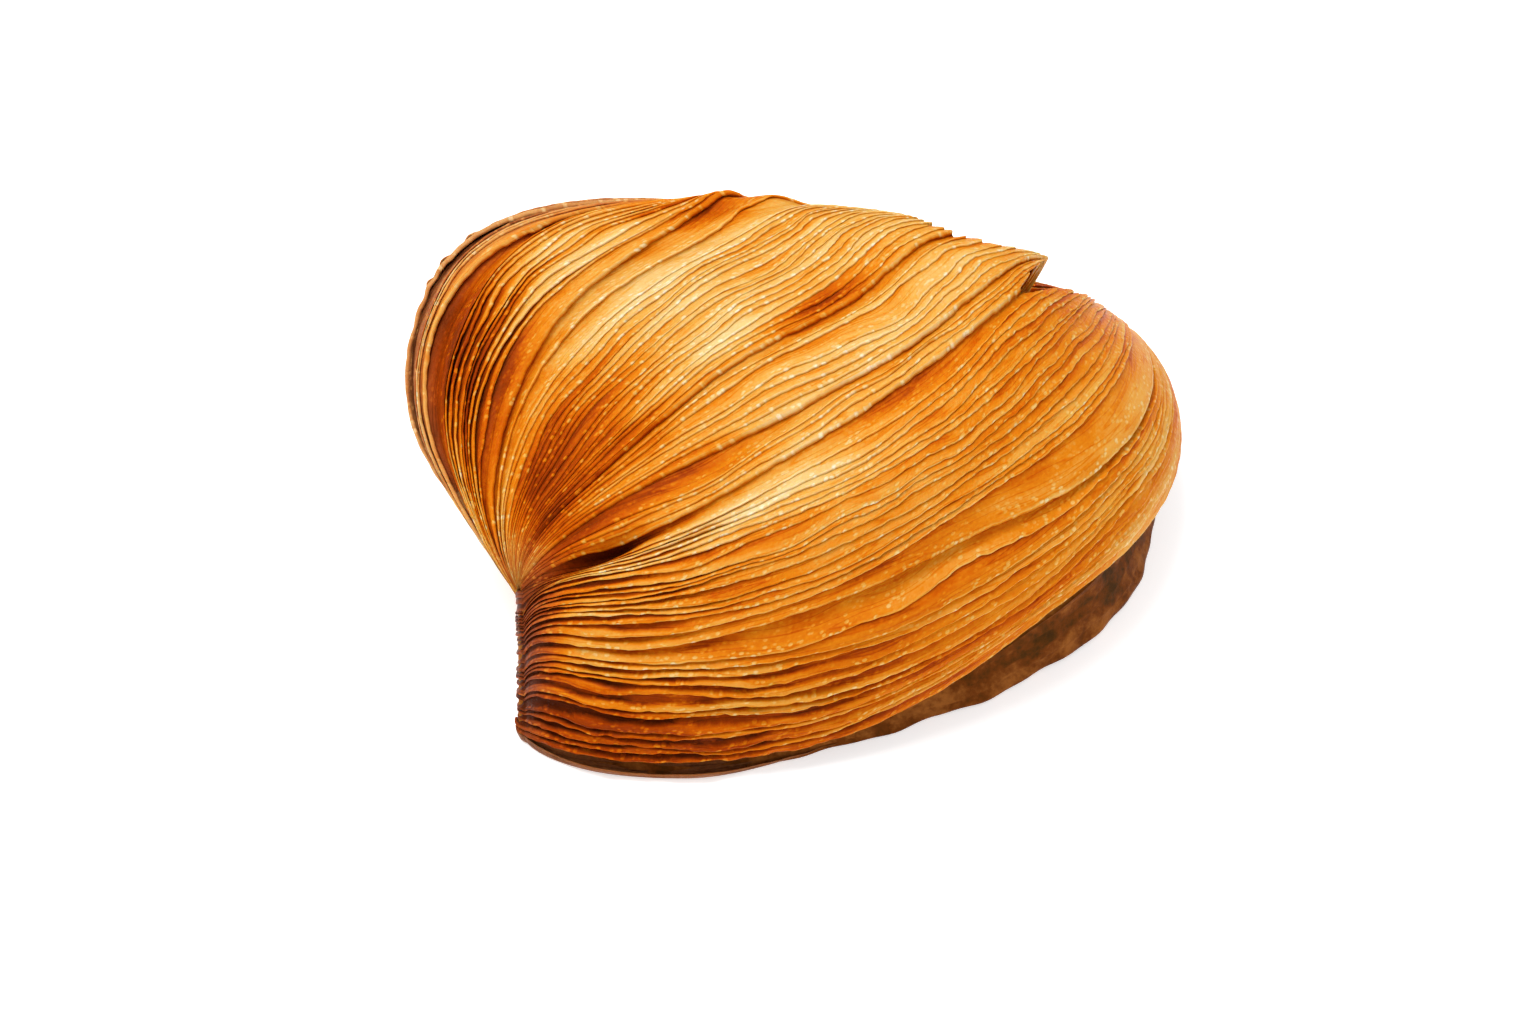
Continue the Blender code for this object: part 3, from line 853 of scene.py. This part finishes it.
def core_piece(material):
    """Dark closed body under the leaves, with the foot."""
    along = ALONG[::2]
    girths = np.linspace(0.0, 1.0, CORE_ROWS)
    grid = np.broadcast_to(girths[:, None], (CORE_ROWS, len(along)))
    corner = 1.0 - CORNER_FILL * smooth((along - FILL_FROM) / FILL_OVER)
    depth = (CORE_DEPTH + CORE_BELLY * np.sin(np.pi * along)[None]) * corner[None]
    depth = depth - np.minimum(patches(RELIEF, grid, along[None]), 0.0)
    depth = depth + far_fall(grid, along[None], far_end(grid) - CORE_EARLY)
    normals = surface_normal(np.clip(grid, 0.01, 0.99), along[None])
    body = surface(grid, along[None]) - depth[..., None] * normals
    body[..., 2] = np.maximum(body[..., 2], 1.0)
    rows = list(reversed(foot_rows(0.0))) + list(body) + foot_rows(1.0)
    points = np.concatenate(rows)
    count = len(along)
    faces = grid_faces(len(rows), count, closed_rows=True)
    ring = np.arange(len(rows)) * count
    caps = []
    for end in (0, count - 1):
        for step in range(1, len(rows) // 2):
            caps.append((ring[step - 1] + end, ring[step] + end, ring[-step - 1] + end, ring[-step] + end))
    faces = np.concatenate([faces, np.array(caps)])
    foot = np.zeros(len(points))
    foot[:len(foot_rows(0.0)) * count] = 1.0
    foot[-len(foot_rows(1.0)) * count:] = 1.0
    # painted light: the foot's low roll is paler, and it is darker up under the rim, where shade falls
    foot_roll_light = np.exp(-((points[:, 2] - 2.5) / 2.5) ** 2)
    return mesh_object("core", points, faces, {"foot": foot, "foot_roll_light": foot_roll_light}, material)


SPINE_FILL = 1.75  # radius of the filling behind the near corner (mm)
SPINE_TIP = 0.2  # and of its first ring
SPINE_SINK = 5.0  # it lies this far below the leaves' edges (mm)


def spine_core(material):
    """Dark filling behind the plates where they turn the near corner."""
    chosen = np.nonzero(EDGES[:, 0] > WRAP_FROM)[0]
    ring = np.linspace(0.0, 2.0 * np.pi, 17)
    circle = np.stack([np.cos(ring), np.sin(ring)], 1)
    rows = []
    for leaf in chosen:
        level = WRAP_HEIGHTS[leaf] - SPINE_SINK * min(1.0, WRAP_HEIGHTS[leaf] / LIFTED)
        radius = SPINE_TIP if leaf == chosen[0] else SPINE_FILL
        plan = WRAP_CENTRES[leaf] + radius * circle
        rows.append(np.column_stack([plan, np.full(len(ring), max(level, 0.5))]))
    points = np.concatenate(rows)
    foot = np.zeros(len(points))
    return mesh_object("spine_core", points, grid_faces(len(rows), len(ring)), {"foot": foot}, material)


# ---------------------------------------------------------------- materials
def node(tree, kind, **inputs):
    """Add a node and set or link its inputs by name."""
    item = tree.nodes.new(kind)
    for label, value in inputs.items():
        socket = item.inputs[label.replace("_", " ")]
        if isinstance(value, bpy.types.NodeSocket):
            tree.links.new(value, socket)
        else:
            socket.default_value = value
    return item


def new_material(name, **inputs):
    """A material, its node tree and its shader with some inputs set."""
    material = bpy.data.materials.new(name)
    material.use_nodes = True
    shader = material.node_tree.nodes["Principled BSDF"]
    for label, value in inputs.items():
        shader.inputs[label.replace("_", " ")].default_value = value
    return material, material.node_tree, shader


def maths(tree, operation, first, second=None, third=None, clamp=False):
    """A Math node's result."""
    item = tree.nodes.new("ShaderNodeMath")
    item.operation = operation
    item.use_clamp = clamp
    for slot, value in enumerate((first, second, third)):
        if isinstance(value, bpy.types.NodeSocket):
            tree.links.new(value, item.inputs[slot])
        elif value is not None:
            item.inputs[slot].default_value = value
    return item.outputs[0]


def attribute(tree, label):
    """Node that reads a per-point value."""
    item = tree.nodes.new("ShaderNodeAttribute")
    item.attribute_name = label
    return item


def ramp(tree, factor, stops):
    """Colour ramp through (place, colour) stops."""
    item = tree.nodes.new("ShaderNodeValToRGB")
    tree.links.new(factor, item.inputs[0])
    elements = item.color_ramp.elements
    while len(elements) < len(stops):
        elements.new(0.5)
    for element, (place, colour) in zip(elements, stops):
        element.position = place
        element.color = (*colour, 1.0)
    return item.outputs[0]


def blend(tree, factor, first, second):
    """Mix of two colours."""
    item = tree.nodes.new("ShaderNodeMix")
    item.data_type = "RGBA"
    tree.links.new(factor, item.inputs[0])
    tree.links.new(first, item.inputs[6])
    tree.links.new(second, item.inputs[7])
    return item.outputs[2]


def scaled(tree, vector, scale):
    """Vector times a per-axis scale."""
    item = tree.nodes.new("ShaderNodeVectorMath")
    item.operation = "MULTIPLY"
    tree.links.new(vector, item.inputs[0])
    item.inputs[1].default_value = scale
    return item.outputs[0]


def noise(tree, vector, scale, detail=3.0, rough=0.55):
    """Noise value."""
    item = node(tree, "ShaderNodeTexNoise", Vector=vector, Scale=scale, Detail=detail, Roughness=rough)
    return item.outputs["Fac"]


COVER_SHADE_TONES = (0.03, 0.13)  # painted shade, darker orange under the covering edge: least and most
PLATE_COVER_SHADE = 0.08  # and more painted shade on the plates
BASE_EASE = 0.060  # the whole crust is paler by this
CUT_HIGHLIGHT_TONE = -0.11  # painted highlight, paler at the cut edge
BLISTER_TONE = -0.21  # and on the blisters
STREAK_TONE = 0.14  # tone of streaks, clouds, grains and folds
CLOUD_TONE = 0.22
GRAIN_TONE = 0.14
FOLD_TONE = 0.09
# colours by tone, for clean crust and dry crust: set with average colours of the photo at hand
BAKE = (
    (0.00, (0.74, 0.68, 0.52)),
    (0.14, (0.69, 0.56, 0.34)),
    (0.28, (0.620, 0.42, 0.165)),
    (0.42, (0.580, 0.285, 0.046)),
    (0.54, (0.550, 0.170, 0.005)),
    (0.66, (0.45, 0.086, 0.001)),
    (0.78, (0.27, 0.034, 0.001)),
    (1.00, (0.07, 0.009, 0.001)),
)
DUSTY = (
    (0.00, (0.74, 0.60, 0.44)),
    (0.42, (0.56, 0.34, 0.155)),
    (0.60, (0.40, 0.19, 0.065)),
    (0.78, (0.21, 0.080, 0.026)),
    (1.00, (0.06, 0.016, 0.005)),
)


def leaf_material():
    """Baked leaf: painted shade where it is covered, a painted highlight at the free edge, with rows of
    small blisters.
    """
    material, tree, shader = new_material(
        "crust_leaf", Specular_IOR_Level=0.03, Specular_Tint=(1.0, 0.72, 0.38, 1.0),
        Subsurface_Weight=0.50, Subsurface_Radius=(1.0, 0.50, 0.20), Subsurface_Scale=0.0006)
    lane = attribute(tree, "lane").outputs["Vector"]
    tone = attribute(tree, "tone").outputs["Fac"]
    rise = attribute(tree, "rise").outputs["Fac"]
    cover = attribute(tree, "cover").outputs["Fac"]
    cut = attribute(tree, "cut").outputs["Fac"]
    plate = attribute(tree, "plate").outputs["Fac"]
    streak = noise(tree, scaled(tree, lane, (0.14, 1.3, 1.0)), 1.0, 3.0)
    cloud = noise(tree, scaled(tree, lane, (0.09, 0.25, 1.0)), 1.0, 2.0)
    grain = noise(tree, scaled(tree, lane, (1.5, 2.0, 1.0)), 1.0, 3.0)
    # painted shade and glow: the covered part is painted deep orange in some places and hardly at all in
    # others
    cover_shade = noise(tree, scaled(tree, lane, (0.10, 0.05, 1.0)), 1.0, 2.0)
    cover_shade = maths(tree, "MULTIPLY", maths(tree, "SUBTRACT", cover_shade, 0.40, clamp=True), 5.0, clamp=True)
    cover_shade = maths(tree, "MULTIPLY_ADD", cover_shade, COVER_SHADE_TONES[1] - COVER_SHADE_TONES[0], COVER_SHADE_TONES[0])
    cover_shade = maths(tree, "MULTIPLY_ADD", plate, PLATE_COVER_SHADE, cover_shade)
    bake = maths(tree, "MULTIPLY_ADD", cover, cover_shade, maths(tree, "SUBTRACT", tone, BASE_EASE))
    bake = maths(tree, "MULTIPLY_ADD", maths(tree, "SUBTRACT", streak, 0.5), STREAK_TONE, bake)
    bake = maths(tree, "MULTIPLY_ADD", maths(tree, "SUBTRACT", cloud, 0.5), CLOUD_TONE, bake)
    bake = maths(tree, "MULTIPLY_ADD", maths(tree, "SUBTRACT", grain, 0.5), GRAIN_TONE, bake)
    # painted highlight at the cut edge
    bake = maths(tree, "MULTIPLY_ADD", cut, CUT_HIGHLIGHT_TONE, bake)
    # faint folds that run with the leaf
    fold = noise(tree, scaled(tree, lane, (0.05, 0.75, 1.0)), 1.0, 1.0)
    fold = maths(tree, "ABSOLUTE", maths(tree, "SUBTRACT", fold, 0.5))
    fold = maths(tree, "MULTIPLY_ADD", fold, -28.0, 1.0, clamp=True)
    bake = maths(tree, "MULTIPLY_ADD", fold, FOLD_TONE, bake)
    # blisters: small raised cells, gathered in rows near the free edges
    cells = node(tree, "ShaderNodeTexVoronoi", Vector=scaled(tree, lane, (0.9, 1.4, 1.0)), Scale=1.0)
    bubble = maths(tree, "MULTIPLY_ADD", cells.outputs["Distance"], -5.5, 2.4, clamp=True)
    where = noise(tree, scaled(tree, lane, (0.30, 0.6, 1.0)), 1.0, 2.0)
    where = maths(tree, "MULTIPLY", maths(tree, "SUBTRACT", where, 0.42, clamp=True), 8.0, clamp=True)
    near_edge = maths(tree, "MULTIPLY_ADD", maths(tree, "POWER", rise, 2.0), 0.80, 0.20)
    bubble = maths(tree, "MULTIPLY", maths(tree, "MULTIPLY", bubble, where), near_edge)
    bake = maths(tree, "MULTIPLY_ADD", bubble, BLISTER_TONE, bake, clamp=True)
    dust = attribute(tree, "dust").outputs["Fac"]
    colour = blend(tree, dust, ramp(tree, bake, BAKE), ramp(tree, bake, DUSTY))
    tree.links.new(colour, shader.inputs["Base Color"])
    rough = maths(tree, "MULTIPLY_ADD", grain, 0.30, 0.22)
    tree.links.new(rough, shader.inputs["Roughness"])
    bump_height = maths(tree, "MULTIPLY_ADD", bubble, 1.2, grain)
    bump_height = maths(tree, "MULTIPLY_ADD", streak, 0.6, bump_height)
    bump_height = maths(tree, "MULTIPLY_ADD", fold, -0.35, bump_height)
    bump = node(tree, "ShaderNodeBump", Height=bump_height, Strength=0.45, Distance=0.0003)
    tree.links.new(bump.outputs["Normal"], shader.inputs["Normal"])
    return material


def core_material():
    """Dark, mottled baked body under the leaves and at the foot."""
    material, tree, shader = new_material(
        "crust_core", Roughness=0.45, Specular_IOR_Level=0.02, Specular_Tint=(1.0, 0.66, 0.40, 1.0))
    place = tree.nodes.new("ShaderNodeTexCoord").outputs["Object"]
    cloud = noise(tree, place, 260.0, 4.0, 0.6)
    fine = noise(tree, place, 900.0, 3.0, 0.6)
    mixed = maths(tree, "MULTIPLY_ADD", fine, 0.35, maths(tree, "MULTIPLY", cloud, 0.75), clamp=True)
    # painted light on the foot's low roll, painted shade up under the rim
    foot_roll_light = attribute(tree, "foot_roll_light").outputs["Fac"]
    low = ramp(tree, maths(tree, "MULTIPLY_ADD", foot_roll_light, 0.13, mixed), (
        (0.34, (0.032, 0.014, 0.003)),
        (0.46, (0.060, 0.021, 0.003)),
        (0.60, (0.125, 0.031, 0.004)),
        (0.78, (0.250, 0.080, 0.015)),
    ))
    inner = ramp(tree, mixed, (
        (0.34, (0.200, 0.050, 0.005)),
        (0.50, (0.300, 0.095, 0.010)),
        (0.70, (0.420, 0.170, 0.030)),
    ))
    colour = blend(tree, attribute(tree, "foot").outputs["Fac"], inner, low)
    tree.links.new(colour, shader.inputs["Base Color"])
    bump = node(tree, "ShaderNodeBump", Height=mixed, Strength=0.6, Distance=0.0006)
    tree.links.new(bump.outputs["Normal"], shader.inputs["Normal"])
    return material


# ---------------------------------------------------------------- stage, light, camera
FLOOR_HALF = 3.0  # half the floor's width, and its gap under the foot (m)
FLOOR_GAP = 0.0002


def make_floor():
    """Wide pale floor at the foot's height."""
    mesh = bpy.data.meshes.new("floor")
    level = CAD_LOW.z - FLOOR_GAP
    corners = [(x * FLOOR_HALF, y * FLOOR_HALF, level) for x, y in ((-1, -1), (1, -1), (1, 1), (-1, 1))]
    mesh.from_pydata(corners, [], [(0, 1, 2, 3)])
    pale, _, _ = new_material(
        "floor_white", Base_Color=(0.90, 0.90, 0.90, 1.0), Roughness=0.9,
        Emission_Color=(1.0, 1.0, 1.0, 1.0), Emission_Strength=0.42)
    mesh.materials.append(pale)
    floor = placed("floor", mesh)


def soft_light(name, place, aim, size, power, colour=(1.0, 1.0, 1.0)):
    """Large soft area light."""
    lamp = bpy.data.lights.new(name, "AREA")
    lamp.shape = "DISK"
    lamp.size = size
    lamp.energy = power
    lamp.color = colour
    item = placed(name, lamp)
    item.location = place
    item.rotation_euler = (Vector(aim) - Vector(place)).to_track_quat("-Z", "Y").to_euler()


def make_lights():
    """White surround with a broad key from above left and a weak front fill."""
    world = bpy.data.worlds.new("studio")
    bpy.context.scene.world = world
    world.use_nodes = True
    background = world.node_tree.nodes["Background"]
    background.inputs["Color"].default_value = (1.0, 1.0, 1.0, 1.0)
    background.inputs["Strength"].default_value = 0.75
    centre = (0.0, 0.0, 0.02)
    soft_light("key", (-0.22, 0.05, 0.80), centre, 0.5, 6.5)
    soft_light("fill", (0.45, -0.60, 0.45), centre, 0.6, 1.6)


CAMERA_ELEVATION = 50.0
CAMERA_DISTANCE = 640.0
CAMERA_TARGET = np.array([-4.0, -15.0, 10.4])


def make_camera():
    """Camera at the viewing angle, from in front and above."""
    lift = np.radians(CAMERA_ELEVATION)
    away = np.array([0.0, -np.cos(lift), np.sin(lift)])
    data = bpy.data.cameras.new("camera")
    data.lens = 100.0
    data.sensor_width = 36.0
    item = placed("camera", data)
    item.location = Vector(to_frame(CAMERA_TARGET + CAMERA_DISTANCE * away))
    item.rotation_euler = Vector(-away).to_track_quat("-Z", "Y").to_euler()
    bpy.context.scene.camera = item


bpy.context.scene.view_settings.view_transform = "Standard"
make_camera()
make_lights()
make_floor()
core_look = core_material()
core = core_piece(core_look)
leaf_look = leaf_material()
pieces = leaf_pieces(leaf_look)
pieces.append(lip_piece(leaf_look))
pieces.append(spine_core(core_look))
for piece in pieces + [core]:
    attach(piece, "root")
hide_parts("pastry")
print("triangles", sum(len(item.data.polygons) * 2 for item in pieces + [core]), "leaves", LEAVES)
